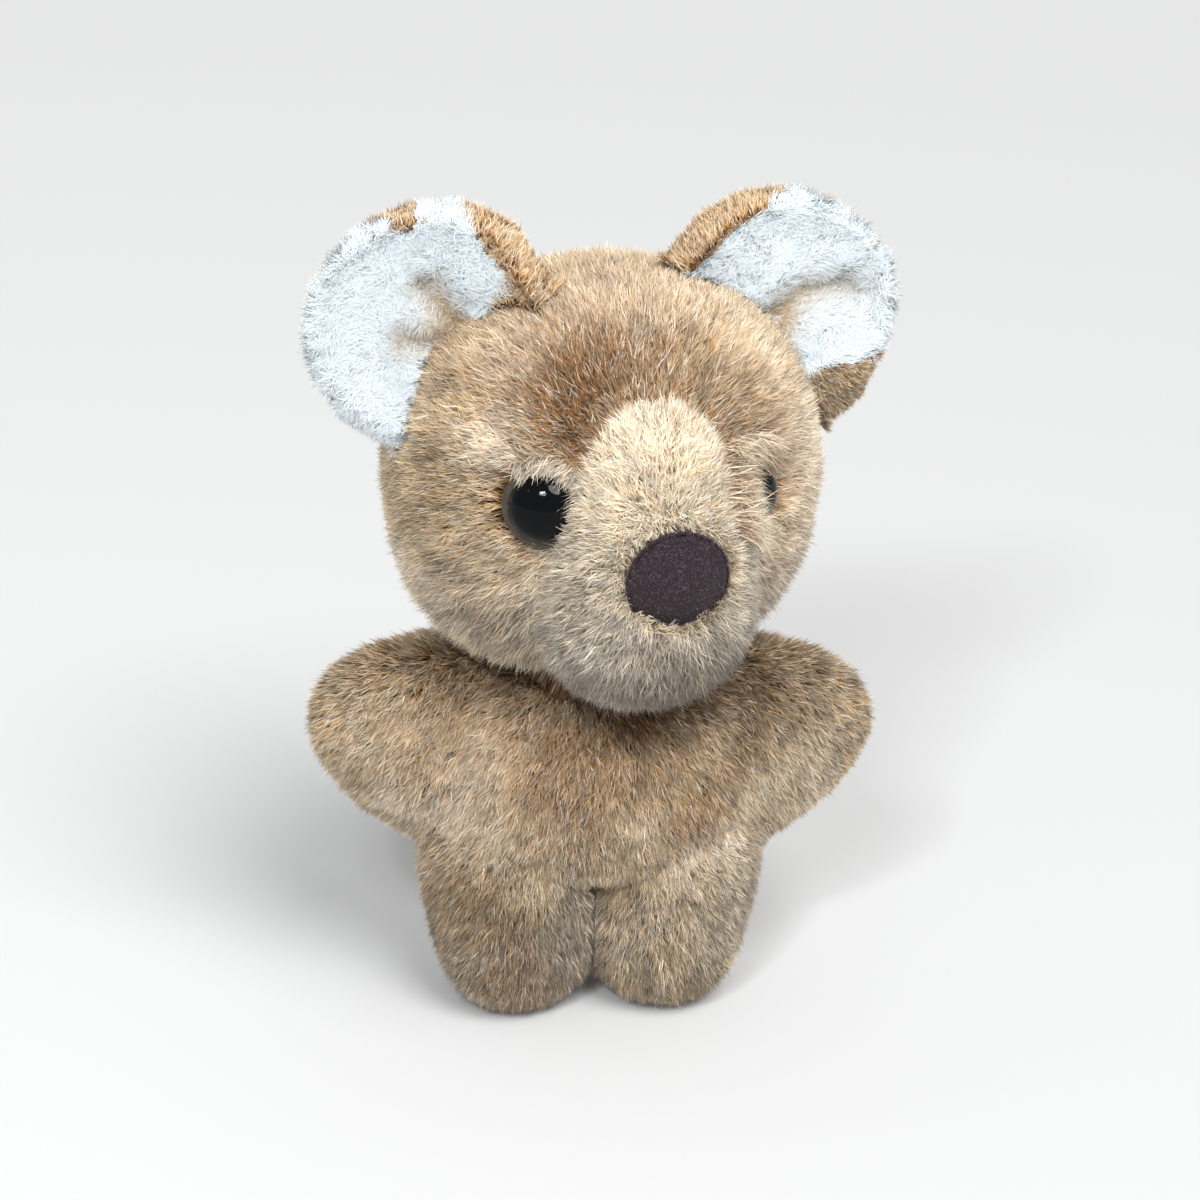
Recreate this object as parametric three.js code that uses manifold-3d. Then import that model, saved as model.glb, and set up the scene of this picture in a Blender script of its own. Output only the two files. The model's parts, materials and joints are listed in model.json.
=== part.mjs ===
// A small plush bear that stands on two flat soles. Its head turns and nods on a stuffed neck, and
// its sewn ears flex. Millimetres, +Z up. The bear faces -Y, so its own left side is +X.
import * as THREE from "three";
import { mergeVertices } from "three/addons/utils/BufferGeometryUtils.js";
import Module from "manifold-3d";

const wasm = await Module();
wasm.setup();

// Fits and fabrics
const gap = 0.3; // between two pieces that touch
const coverWall = 3.2; // pile fabric: its knitted backing and the dense foot of the pile
const liningWall = 3.6; // white fleece inside the ear
const soleDepth = 0.5; // how far the weight flattens each foot

// Legs
const legLength = 38.5; // sole to crotch
const legHalfWidth = 18.3;
const legHalfDepth = 20.5;
const legIntoTorso = 14;
const legTaper = -0.12; // the foot is narrower than the hip
const footForward = 3.5; // the feet stand forward, under the heavy head
const cleft = 0.6; // slit between the legs

// Torso
const bodyHeight = 50; // crotch to the middle of the neck
const torsoHalfWidth = 38.2;
const torsoHalfDepth = 25;
const torsoIntoLegs = 9;
const torsoTaper = 0.06; // the shoulders are narrower than the belly

// Arms: the right one is sewn on a little higher
const armOutside = 22.3; // how far the tip stands out from the torso
const armHalfLength = 25;
const armHalfHeight = 24;
const armHalfDepth = 15;
const armTaper = 0.38; // the tip is thinner than the shoulder
const armLift = 16; // degrees above level
const armBelowNeck = { left: 20, right: 17 }; // tip below the middle of the neck

// Neck
const neckRadius = 18; // firm ball of stuffing that the head is sewn down on
const neckFit = 0.5; // its clearance in its seats in the body and the head
const nodRange = 10; // degrees, forward and back
const nodSpare = 1.5; // degrees left open at the end of a nod

// Head
const headHalfWidth = 45;
const headHalfDepth = 40;
const headHalfHeight = 43;
const headSink = 7.5; // how far the head is pressed down over the neck
const headTurn = 9; // degrees to its left, as it stands

// Muzzle and nose
const muzzleHalfWidth = 21;
const muzzleHalfDepth = 24;
const muzzleHalfHeight = 31.5;
const muzzleTaper = 0.2; // it is narrower at the top, between the eyes
const muzzleInside = 10; // its middle lies this far behind the front of the head
const muzzleDrop = 5; // and this far below the middle of the head
const noseRadius = 10;
const noseRim = 2; // thickness of the nose at its edge
const noseDome = 1.6; // how far its middle swells
const noseFelt = 1.2;
const noseSeat = 3.4; // depth of the flat that the nose is sewn on
const noseBacking = 1.3; // backing pressed flat behind it
const noseRise = 2; // above the middle of the muzzle
const noseTilt = 4; // degrees downwards

// Eyes: a domed pupil on a ribbed shank, a tinted ring behind it and a lock washer inside the head
const eyeSideAngle = { left: 28, right: 32.5 }; // degrees from straight ahead, as seen from above
const eyeUpAngle = 9; // degrees above the middle of the head
const eyeSeat = 1.6; // the ring sinks this far into the pile
const eyeBacking = 1.3; // backing gripped between the ring and the washer
const irisRadius = 8.2;
const irisThick = 1.4;
const pupilRadius = 6.7;
const pupilHeight = 4.2;
const shankRadius = 2.1;
const shankLength = 13;
const ribPitch = 1.5;
const ribRise = 0.35;
const ribPeak = 0.5; // share of the pitch at which a rib is highest
const ribEnd = 0.6; // share of the pitch at which its square back ends
const washerRadius = 7;
const washerThick = 0.9;
const washerDish = 0.45; // how far its middle stands off the backing
const washerRing = 1.2; // width of the flat round the teeth
const washerTooth = 0.7; // width of a tooth, outwards from the hole
const washerCollar = 1.6; // height of the teeth
const washerTeeth = 6;
const washerSlit = 0.7;

// Ears: the left one sits closer in and faces forward more
const earRadius = 24.6;
const earHalfThick = 8.5;
const earOutAngle = { left: 47, right: 49 }; // degrees from straight up, in the plane of the face
const earStand = { left: 3.3, right: 6.3 }; // surface of the head to the middle of the ear
const earForward = 4;
const earFaceOut = { left: -6, right: 8 }; // degrees that the ear looks outwards
const earLeanBack = 8; // degrees
const earDishRadius = 22;
const earDishHalfDepth = 9;
const earDishOut = 2.5; // the hollow lies towards the outer rim
const earClear = 3; // room between the ear and the head, so that it can flex
const earTongueThick = 2; // the gathered edge of the back, which is sewn to the head
const earTongueHalfWidth = 10;
const earTongueGap = 0.6;

// Roundness of the soft forms, [from the side, in plan]: 1 is an ellipse and less is boxier
const legRound = [0.62, 0.85];
const torsoRound = [0.78, 0.92];
const armRound = [0.8, 1];
const headRound = [0.95, 0.97];
const muzzleRound = [0.9, 0.95];
const earRound = [0.95, 1];

// Fineness of the meshes
const outer = { sides: 22, rings: 10 }; // forms that show
const inner = { sides: 14, rings: 7 }; // hollows and fillings
const earMesh = { sides: 20, rings: 8 };
const turnedSides = 20;
const shankSides = 16;
const domeSteps = 6;
const rimSteps = 4; // round the rim of an eye's ring

const paint = (color, roughness) =>
  new THREE.MeshStandardMaterial({ color, roughness, metalness: 0 });
const finishes = {
  pile: paint(0xb89872, 0.95),
  creamPile: paint(0xdec4a0, 0.95),
  fleece: paint(0xeef3f5, 0.97),
  felt: paint(0x3f3238, 0.98),
  stuffing: paint(0xf4f4f0, 1),
  black: paint(0x0b0b0d, 0.08),
  amber: paint(0x5b4632, 0.15),
  washer: paint(0xe9e9e4, 0.4),
};

const turn = THREE.MathUtils.degToRad;
const across = { left: 1, right: -1 }; // the sign of X
const names = Object.keys(across);
const neckHeight = legLength + bodyHeight;
const far = 4 * neckHeight; // longer than the bear, for the tools that cut it
const armReach = torsoHalfWidth + armOutside;
const headRise = headHalfHeight - headSink;
const muzzleForward = headHalfDepth - muzzleInside;

// A power that keeps the sign, for rounded squares.
const signedPower = (value, power) => Math.sign(value) * Math.abs(value) ** power;

// A closed soft form of half sizes [x, y, z]. taper shrinks the plan towards +Z, and lean slides it
// as it rises.
function softForm({ half, round = [1, 1], taper = 0, lean = [0, 0], sides, rings }) {
  const points = [];
  const faces = [];
  const ringPoint = (ring, side) => 1 + (ring - 1) * sides + (side % sides);
  const addPoint = (rise, planX, planY) => {
    const scale = 1 - taper * rise;
    points.push(half[0] * planX * scale + lean[0] * rise);
    points.push(half[1] * planY * scale + lean[1] * rise);
    points.push(half[2] * rise);
  };
  addPoint(-1, 0, 0);
  for (let ring = 1; ring < rings; ring++) {
    const latitude = Math.PI * (ring / rings - 0.5);
    const width = Math.cos(latitude) ** round[0];
    for (let side = 0; side < sides; side++) {
      const angle = (2 * Math.PI * side) / sides;
      const planX = width * signedPower(Math.cos(angle), round[1]);
      const planY = width * signedPower(Math.sin(angle), round[1]);
      addPoint(signedPower(Math.sin(latitude), round[0]), planX, planY);
    }
  }
  addPoint(1, 0, 0);
  const last = points.length / 3 - 1;
  for (let side = 0; side < sides; side++) {
    faces.push(0, ringPoint(1, side + 1), ringPoint(1, side));
    for (let ring = 1; ring < rings - 1; ring++) {
      const [low, lowNext] = [ringPoint(ring, side), ringPoint(ring, side + 1)];
      const [high, highNext] = [ringPoint(ring + 1, side), ringPoint(ring + 1, side + 1)];
      faces.push(low, lowNext, highNext, low, highNext, high);
    }
    faces.push(last, ringPoint(rings - 1, side), ringPoint(rings - 1, side + 1));
  }
  return new THREE.BufferGeometry()
    .setAttribute("position", new THREE.Float32BufferAttribute(points, 3))
    .setIndex(faces);
}

// A turned form about +Z: profile is a list of [radius, height] that closes on itself or on the axis.
function turned(profile, count = turnedSides) {
  const outline = profile.map(([radius, height]) => new THREE.Vector2(radius, height));
  return new THREE.LatheGeometry(outline, count).rotateX(Math.PI / 2);
}

// A round bar along Z from low to high.
const barrel = (radius, low, high) =>
  new THREE.CylinderGeometry(radius, radius, high - low, turnedSides)
    .rotateX(Math.PI / 2)
    .translate(0, 0, (high + low) / 2);

// A quarter round of a dome, from its edge to just short of its top, as [radius, height].
const domeEdge = (radius, low, rise) =>
  Array.from({ length: domeSteps }, (_, step) => {
    const angle = (Math.PI / 2) * (step / domeSteps);
    return [radius * Math.cos(angle), low + rise * Math.sin(angle)];
  });

// A place: turned about X, Y and Z in that order, then moved.
function place(at, rotation = [0, 0, 0]) {
  const angles = new THREE.Euler(...rotation, "ZYX");
  return new THREE.Matrix4().makeRotationFromEuler(angles).setPosition(...at);
}

// A geometry in its place as a solid that can be cut and joined.
function solid(geometry, at = new THREE.Matrix4()) {
  const bare = geometry.clone().applyMatrix4(at);
  bare.deleteAttribute("normal");
  bare.deleteAttribute("uv");
  const merged = mergeVertices(bare, 1e-4);
  return new wasm.Manifold(
    new wasm.Mesh({
      numProp: 3,
      vertProperties: merged.attributes.position.array,
      triVerts: new Uint32Array(merged.index.array),
    }),
  );
}

const join = (...solids) => solids.reduce((whole, next) => whole.add(next));
const cut = (whole, ...tools) => tools.reduce((left, tool) => left.subtract(tool), whole);

function mesh(name, form, finish) {
  const made = form.getMesh();
  const geometry = new THREE.BufferGeometry()
    .setAttribute("position", new THREE.BufferAttribute(made.vertProperties, 3))
    .setIndex(new THREE.BufferAttribute(made.triVerts, 1));
  geometry.computeVertexNormals();
  const piece = new THREE.Mesh(geometry, finish);
  piece.name = name;
  return piece;
}

// Each soft form can be grown by a margin, which is negative for the hollow inside a cover.
const fineness = (margin) => (margin < 0 ? inner : outer);

function legForm(name, margin) {
  const halfHeight = (legLength + legIntoTorso + soleDepth) / 2;
  const form = softForm({
    half: [legHalfWidth + margin, legHalfDepth + margin, halfHeight + margin],
    round: legRound,
    taper: legTaper,
    lean: [-across[name] * legTaper * legHalfWidth, footForward / 2],
    ...fineness(margin),
  });
  const at = [across[name] * legHalfWidth, -footForward / 2, halfHeight - soleDepth];
  return solid(form, place(at));
}

function torsoForm(margin) {
  const halfHeight = (bodyHeight + torsoIntoLegs) / 2;
  const form = softForm({
    half: [torsoHalfWidth + margin, torsoHalfDepth + margin, halfHeight + margin],
    round: torsoRound,
    taper: torsoTaper,
    ...fineness(margin),
  });
  return solid(form, place([0, 0, neckHeight - halfHeight]));
}

function armForm(name, margin) {
  const form = softForm({
    half: [armHalfHeight + margin, armHalfDepth + margin, armHalfLength + margin],
    round: armRound,
    taper: armTaper,
    ...fineness(margin),
  });
  const out = armReach - armHalfLength * Math.cos(turn(armLift));
  const below = armBelowNeck[name] + armHalfLength * Math.sin(turn(armLift));
  const at = [across[name] * out, 0, neckHeight - below];
  return solid(form, place(at, [0, across[name] * turn(90 - armLift), 0]));
}

// The head's own frame stands on the middle of the neck.
function headForm(margin) {
  const form = softForm({
    half: [headHalfWidth + margin, headHalfDepth + margin, headHalfHeight + margin],
    round: headRound,
    ...fineness(margin),
  });
  return solid(form, place([0, 0, headRise]));
}

function muzzleForm(margin) {
  const form = softForm({
    half: [muzzleHalfWidth + margin, muzzleHalfDepth + margin, muzzleHalfHeight + margin],
    round: muzzleRound,
    taper: muzzleTaper,
    ...fineness(margin),
  });
  return solid(form, place([0, -muzzleForward, headRise - muzzleDrop]));
}

const neckBall = (margin, height) =>
  solid(
    new THREE.SphereGeometry(neckRadius + margin, outer.sides, outer.rings),
    place([0, 0, height]),
  );

// The wedge that is left open all round the neck, half of it above and half below, for the nod.
const wedgeDrop = far * Math.tan(turn((nodRange + nodSpare) / 2));
const wedge = turned([
  [0, 0],
  [far, -wedgeDrop],
  [far, far],
  [0, far],
]);

// The slit between the legs, with a wall of the given thickness left beside it.
const legSlit = (wall) => solid(new THREE.BoxGeometry(cleft + 2 * wall, far, 2 * legLength));

// Body: the covers are open to each other, so that one filling reaches the arms and the feet.
function bodyFilling(margin) {
  const legs = names.map((name) => cut(legForm(name, margin), legSlit(-margin)));
  return join(torsoForm(margin), ...names.map((name) => armForm(name, margin)), ...legs);
}

function makeBody() {
  const hollow = bodyFilling(-coverWall);
  const aboveNeck = solid(wedge, place([0, 0, neckHeight]));
  const neckSeat = neckBall(neckFit, neckHeight);
  const torsoClear = torsoForm(gap);
  const armsClear = join(...names.map((name) => armForm(name, gap)));
  const floor = new THREE.BoxGeometry(far, far, far);
  const underfoot = solid(floor, place([0, 0, -far / 2]));
  const torso = cut(torsoForm(0), hollow, aboveNeck, neckSeat);
  const filling = cut(bodyFilling(-coverWall - gap), aboveNeck, neckSeat);
  const group = new THREE.Group();
  group.add(mesh("torso_cover", torso, finishes.pile));
  group.add(mesh("body_stuffing", filling, finishes.stuffing));
  for (const name of names) {
    const arm = cut(armForm(name, 0), torsoClear, hollow, aboveNeck);
    const leg = cut(legForm(name, 0), torsoClear, armsClear, hollow, underfoot, legSlit(0));
    group.add(mesh(`arm_${name}_cover`, arm, finishes.pile));
    group.add(mesh(`leg_${name}_cover`, leg, finishes.pile));
  }
  return group;
}

// The tinted ring of an eye: a flat annulus with a rounded rim.
function irisRing() {
  const hole = shankRadius + gap;
  const rim = irisThick / 2;
  const profile = [[hole, 0]];
  for (let step = 0; step <= rimSteps; step++) {
    const angle = Math.PI * (step / rimSteps - 0.5);
    profile.push([irisRadius - rim + rim * Math.cos(angle), rim + rim * Math.sin(angle)]);
  }
  profile.push([hole, irisThick], [hole, 0]);
  return turned(profile);
}

// The black dome and its shank, one moulding. Each rib slopes towards the tip and is square behind.
function pupilAndShank() {
  const base = irisThick + gap;
  const root = shankRadius - ribRise;
  const tip = irisThick - shankLength;
  const profile = [[0, tip]];
  for (let low = tip; low + ribPitch < washerSeat; low += ribPitch) {
    profile.push([root, low], [shankRadius, low + ribPeak * ribPitch]);
    profile.push([root, low + ribEnd * ribPitch]);
  }
  profile.push([root, washerSeat], [shankRadius, 0], [shankRadius, base]);
  profile.push(...domeEdge(pupilRadius, base, pupilHeight), [0, base + pupilHeight]);
  return turned(profile, shankSides);
}

// A dished washer whose rim bears on the backing. Its hole is ringed by sprung teeth, parted by
// slits, that grip behind a rib.
function lockWasher() {
  const hole = shankRadius + gap;
  const under = -washerDish - washerThick;
  const plain = turned([
    [hole, -washerDish],
    [hole, under - washerCollar],
    [hole + washerTooth, under - washerCollar],
    [hole + washerRing, under],
    [washerRadius, -washerThick],
    [washerRadius, 0],
    [hole, -washerDish],
  ]);
  const slits = Array.from({ length: washerTeeth }, (_, tooth) => {
    const angle = (2 * Math.PI * tooth) / washerTeeth;
    const slit = new THREE.BoxGeometry(2 * washerRing, washerSlit, 2 * washerCollar);
    slit.translate(hole + washerRing / 2, 0, under - washerCollar);
    return solid(slit, place([0, 0, 0], [0, 0, angle]));
  });
  return cut(solid(plain), ...slits);
}

// Where a ray from the middle of the head, in a direction in the head's frame, leaves the head.
const headHalf = new THREE.Vector3(headHalfWidth, headHalfDepth, headHalfHeight);
const onHead = (way) => way.clone().divideScalar(way.clone().divide(headHalf).length());

// An eye's own frame: the origin on its seat in the cover, +Z out of the head.
function eyePlace(name) {
  const way = new THREE.Vector3(0, -1, 0)
    .applyAxisAngle(new THREE.Vector3(-1, 0, 0), turn(eyeUpAngle))
    .applyAxisAngle(new THREE.Vector3(0, 0, 1), across[name] * turn(eyeSideAngle[name]));
  const surface = onHead(way);
  const facing = surface.clone().divide(headHalf).divide(headHalf).normalize();
  const seat = surface.addScaledVector(facing, -eyeSeat).add(new THREE.Vector3(0, 0, headRise));
  const spin = new THREE.Quaternion().setFromUnitVectors(new THREE.Vector3(0, 0, 1), facing);
  return new THREE.Matrix4().compose(seat, spin, new THREE.Vector3(1, 1, 1));
}

// What an eye takes out of the head: the seat for its ring, the shank's hole and the washer's room.
// Where the seat cuts into the muzzle, a wall of cover goes round it.
const washerSeat = -gap - eyeBacking;
const seatCutter = muzzleHalfDepth; // longer than what stands over a seat

function eyeCuts(name) {
  const at = eyePlace(name);
  const tip = irisThick - shankLength - gap;
  const seatRadius = irisRadius + gap;
  const seat = solid(barrel(seatRadius, -gap, seatCutter), at);
  const hole = solid(barrel(shankRadius + gap, washerSeat - gap, gap), at);
  const pocket = solid(barrel(washerRadius + gap, tip, washerSeat), at);
  const walled = (spare) =>
    solid(barrel(seatRadius + coverWall + spare, washerSeat - spare, seatCutter), at);
  return { seat, hole, pocket, walled };
}

function makeEye(name) {
  const group = new THREE.Group();
  group.applyMatrix4(eyePlace(name));
  const washer = lockWasher().translate([0, 0, washerSeat - gap]);
  group.add(mesh(`eye_${name}_iris_ring`, solid(irisRing()), finishes.amber));
  group.add(mesh(`eye_${name}_pupil_and_shank`, solid(pupilAndShank()), finishes.black));
  group.add(mesh(`eye_${name}_lock_washer`, washer, finishes.washer));
  return group;
}

// Nose: a domed felt patch over a thin pad. Its frame has the origin on the flat in the muzzle, and
// the tool that hollows the patch reaches below it.
const nosePlace = place(
  [0, -muzzleForward - muzzleHalfDepth + noseSeat, headRise - muzzleDrop + noseRise],
  [Math.PI / 2 + turn(noseTilt), 0, 0],
);

function domed(radius, thick, dome, below = 0) {
  const profile = [[0, -below], [radius, -below]];
  for (let step = 0; step < domeSteps; step++) {
    const share = 1 - step / domeSteps;
    profile.push([radius * share, thick + dome * (1 - share ** 2)]);
  }
  profile.push([0, thick + dome]);
  return solid(turned(profile), nosePlace);
}

// An ear's own frame: the origin in its middle, +Z away from the head, +Y behind it.
function earPlace(name) {
  const side = across[name];
  const out = side * turn(earOutAngle[name]);
  const way = new THREE.Vector3(Math.sin(out), 0, Math.cos(out));
  const middle = onHead(way).addScaledVector(way, earStand[name]);
  return place([middle.x, -earForward, headRise + middle.z])
    .multiply(new THREE.Matrix4().makeRotationZ(side * turn(earFaceOut[name])))
    .multiply(new THREE.Matrix4().makeRotationY(out))
    .multiply(new THREE.Matrix4().makeRotationX(-turn(earLeanBack)));
}

function makeEar(name) {
  const at = earPlace(name);
  const disc = { half: [earRadius, earHalfThick, earRadius], round: earRound, ...earMesh };
  const blank = solid(softForm(disc), at);
  const dish = (margin) => {
    const radius = earDishRadius + margin;
    const form = { half: [radius, earDishHalfDepth + margin, radius], ...earMesh };
    const inFront = place([0, -earHalfThick, earDishOut]);
    return solid(softForm(form), at.clone().multiply(inFront));
  };
  const lifted = cut(blank, headForm(earClear));
  const lining = cut(lifted.intersect(dish(liningWall)), dish(0));
  const width = new THREE.BoxGeometry(2 * earTongueHalfWidth, 4 * earHalfThick, 3 * earRadius);
  const sheet = blank.intersect(dish(liningWall + gap + earTongueThick));
  const tongue = cut(sheet.intersect(solid(width, at)), headForm(earTongueGap));
  const back = cut(join(lifted, tongue), dish(liningWall + gap));
  const group = new THREE.Group();
  group.add(mesh(`ear_${name}_back`, back, finishes.pile));
  group.add(mesh(`ear_${name}_lining`, lining, finishes.fleece));
  return group;
}

// Head: the cover opens into the muzzle, and one filling fills both.
function makeHead() {
  const eyes = names.map(eyeCuts);
  const eyeSeats = eyes.map(({ seat }) => seat);
  const washerRoom = eyes.map(({ pocket }) => pocket);
  const behindNose = (spare) => {
    const depth = gap + noseBacking + spare;
    return solid(barrel(noseRadius + gap + spare, -depth, muzzleHalfDepth), nosePlace);
  };
  const eyeWalls = (spare) => eyes.map(({ walled }) => walled(spare));
  const headHollow = headForm(-coverWall);
  const muzzleHollow = cut(muzzleForm(-coverWall), behindNose(0), ...eyeWalls(0));
  const underneath = [solid(wedge, place([0, 0, 0], [Math.PI, 0, 0])), neckBall(neckFit, 0)];
  const eyeHoles = [...eyeSeats, ...washerRoom, ...eyes.map(({ hole }) => hole)];
  const cover = cut(headForm(0), headHollow, muzzleHollow, ...underneath, ...eyeHoles);
  const noseFlat = solid(barrel(noseRadius + gap, -gap, muzzleHalfDepth), nosePlace);
  const muzzle = cut(muzzleForm(0), headForm(gap), muzzleHollow, noseFlat, ...eyeSeats);
  const muzzleStuffed = cut(muzzleForm(-coverWall - gap), behindNose(gap), ...eyeWalls(gap));
  const stuffed = join(headForm(-coverWall - gap), muzzleStuffed);
  const filling = cut(stuffed, ...underneath, ...eyeSeats, ...washerRoom);
  const padRadius = noseRadius - noseFelt - gap;
  const padThick = noseRim - noseFelt - gap;
  const pad = domed(padRadius, padThick, noseDome);
  const patch = cut(
    domed(noseRadius, noseRim, noseDome),
    domed(padRadius + gap, padThick + gap, noseDome, gap),
  );
  const group = new THREE.Group();
  group.add(mesh("head_cover", cover, finishes.pile));
  group.add(mesh("muzzle_cover", muzzle, finishes.creamPile));
  group.add(mesh("head_stuffing", filling, finishes.stuffing));
  group.add(mesh("nose_pad", pad, finishes.stuffing));
  group.add(mesh("nose_patch", patch, finishes.felt));
  group.add(...names.map(makeEye), ...names.map(makeEar));
  return group;
}

// The head stands turned a little to its left on the neck.
const body = makeBody();
const neck = mesh("neck_stuffing", neckBall(0, neckHeight), finishes.stuffing);
const head = makeHead();
head.position.z = neckHeight;
head.rotation.z = turn(headTurn);

// The origin is under the middle of the whole bear, on the surface that it stands on.
const bear = new THREE.Group();
bear.add(body, neck, head);
const extent = new THREE.Box3().setFromObject(bear, true);
bear.position.set(-(extent.min.x + extent.max.x) / 2, -(extent.min.y + extent.max.y) / 2, 0);

export default bear;
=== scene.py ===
"""A small plush bear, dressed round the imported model. Metres, in the model's frame."""

import json
import math

import bmesh
import bpy
import numpy as np
from mathutils import Matrix, Vector, noise
from mathutils.bvhtree import BVHTree


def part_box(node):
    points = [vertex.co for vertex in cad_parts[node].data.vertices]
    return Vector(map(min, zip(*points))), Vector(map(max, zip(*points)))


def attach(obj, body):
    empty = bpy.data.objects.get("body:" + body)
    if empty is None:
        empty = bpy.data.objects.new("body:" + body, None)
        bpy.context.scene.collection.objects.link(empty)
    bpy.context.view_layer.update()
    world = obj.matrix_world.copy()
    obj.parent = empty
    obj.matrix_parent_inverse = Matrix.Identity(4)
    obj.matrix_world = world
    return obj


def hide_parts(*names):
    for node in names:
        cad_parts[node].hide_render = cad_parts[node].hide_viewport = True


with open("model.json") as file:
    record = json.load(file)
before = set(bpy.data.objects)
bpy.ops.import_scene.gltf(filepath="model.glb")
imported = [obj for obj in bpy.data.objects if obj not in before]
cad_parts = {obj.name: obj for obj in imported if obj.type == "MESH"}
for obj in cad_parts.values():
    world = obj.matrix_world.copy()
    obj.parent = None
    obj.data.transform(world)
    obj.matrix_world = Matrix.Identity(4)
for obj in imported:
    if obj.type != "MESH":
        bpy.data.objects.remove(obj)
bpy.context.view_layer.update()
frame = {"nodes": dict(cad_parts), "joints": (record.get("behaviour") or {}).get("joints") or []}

MM = 0.001
UP = np.array([0.0, 0.0, 1.0])
JOINTS = {joint["name"]: joint for joint in frame["joints"]}


# Camera


def set_camera():
    """The bear is seen from its right and from above, by a camera rolled a little clockwise."""
    azimuth, elevation, roll = (math.radians(angle) for angle in (-8, 25, 2))
    level = Vector((math.sin(azimuth), -math.cos(azimuth), 0))
    back = level * math.cos(elevation) + Vector((0, 0, math.sin(elevation)))
    right = Vector((math.cos(azimuth), math.sin(azimuth), 0))
    up = back.cross(right)
    across = right * math.cos(roll) + up * math.sin(roll)
    upright = up * math.cos(roll) - right * math.sin(roll)
    turn = Matrix((across, upright, back)).transposed().to_4x4()
    lens = bpy.data.cameras.new("camera")
    lens.sensor_width = 36
    lens.lens = 79.7
    camera = bpy.data.objects.new("camera", lens)
    bpy.context.collection.objects.link(camera)
    camera.matrix_world = Matrix.Translation(Vector((0, 0, 0.0965)) + back * 0.55) @ turn
    bpy.context.scene.camera = camera


set_camera()


# Materials


def linear(hex_colour):
    """An sRGB hex colour as the linear colour that the shaders take."""
    parts = [int(hex_colour[place : place + 2], 16) / 255 for place in (1, 3, 5)]
    curve = [(p / 12.92) if p <= 0.04045 else ((p + 0.055) / 1.055) ** 2.4 for p in parts]
    return (*curve, 1.0)


def add(tree, kind, inputs=(), **settings):
    """A node with its settings. inputs are (socket, value or another node's output)."""
    made = tree.nodes.new(kind)
    for name, value in settings.items():
        setattr(made, name, value)
    for socket, value in dict(inputs).items():
        if isinstance(value, bpy.types.NodeSocket):
            tree.links.new(value, made.inputs[socket])
        else:
            made.inputs[socket].default_value = value
    return made


def start_material(name):
    material = bpy.data.materials.new(name)
    material.use_nodes = True
    material.node_tree.nodes.clear()
    return material, material.node_tree


def end_material(tree, shader):
    add(tree, "ShaderNodeOutputMaterial", {"Surface": shader})


def blend_colours(tree, share, first, second, way="MIX"):
    """Two colours mixed by a share, which can be a number or an output."""
    inputs = {0: share, 6: first, 7: second}
    return add(tree, "ShaderNodeMix", inputs, data_type="RGBA", blend_type=way).outputs[2]


def strand_value(tree, name):
    return add(tree, "ShaderNodeAttribute", attribute_name=name).outputs["Fac"]


def spread_over(tree, value, low, high):
    """A value from 0 to 1 spread from low to high."""
    inputs = {"Value": value, "To Min": low, "To Max": high}
    return add(tree, "ShaderNodeMapRange", inputs).outputs["Result"]


def pile(name, root, middle, tip, patch, brow, tones=(0.32, 1.56)):
    """Knitted polyester pile: silky strands that are dark at the root and pale at the tip."""
    material, tree = start_material(name)
    along = strand_value(tree, "along")
    lower = add(tree, "ShaderNodeMapRange", {"Value": along, "From Max": 0.55}).outputs["Result"]
    upper = add(tree, "ShaderNodeMapRange", {"Value": along, "From Min": 0.5}).outputs["Result"]
    shaft = blend_colours(tree, lower, linear(root), linear(middle))
    shaft = blend_colours(tree, upper, shaft, linear(tip))
    # The patch colour is laid over brown patches of the fabric and over painted shade.
    shaft = blend_colours(tree, strand_value(tree, "patch"), shaft, linear(patch))
    # The brow colour is laid over pale wisps and over painted light and painted sheen.
    shaft = blend_colours(tree, strand_value(tree, "brow"), shaft, linear(brow))
    brightness = spread_over(tree, strand_value(tree, "tone"), *tones)
    toned = add(tree, "ShaderNodeVectorMath", {0: shaft, "Scale": brightness}, operation="SCALE")
    shader = add(
        tree,
        "ShaderNodeBsdfPrincipled",
        {
            "Base Color": toned.outputs[0],
            "Roughness": 0.38,
            "Specular IOR Level": 0.6,
            "Sheen Weight": 0.14,
            "Sheen Roughness": 0.4,
        },
    )
    end_material(tree, shader.outputs[0])
    return material


def backing(name, colour):
    """Knitted backing under the pile: dull, with loops of yarn about 1 mm across."""
    material, tree = start_material(name)
    place = add(tree, "ShaderNodeTexCoord").outputs["Object"]
    loops = add(tree, "ShaderNodeTexVoronoi", {"Vector": place, "Scale": 1 / MM})
    depth = spread_over(tree, loops.outputs["Distance"], 1.0, 0.6)
    shade = add(tree, "ShaderNodeVectorMath", {0: linear(colour)[:3], "Scale": depth}, operation="SCALE")
    shader = add(
        tree, "ShaderNodeBsdfPrincipled", {"Base Color": shade.outputs[0], "Roughness": 0.95}
    )
    end_material(tree, shader.outputs[0])
    return material


def acrylic_black():
    """Moulded acrylic dome: deep black, polished, with sharp highlights."""
    material, tree = start_material("acrylic_black")
    place = add(tree, "ShaderNodeTexCoord").outputs["Object"]
    dust = add(tree, "ShaderNodeTexNoise", {"Vector": place, "Scale": 0.5 / MM}).outputs["Fac"]
    inputs = {
        "Base Color": linear("#030406"),
        "Roughness": spread_over(tree, dust, 0.03, 0.07),
        "IOR": 1.49,
        "Specular IOR Level": 0.22,
    }
    end_material(tree, add(tree, "ShaderNodeBsdfPrincipled", inputs).outputs[0])
    return material


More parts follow.
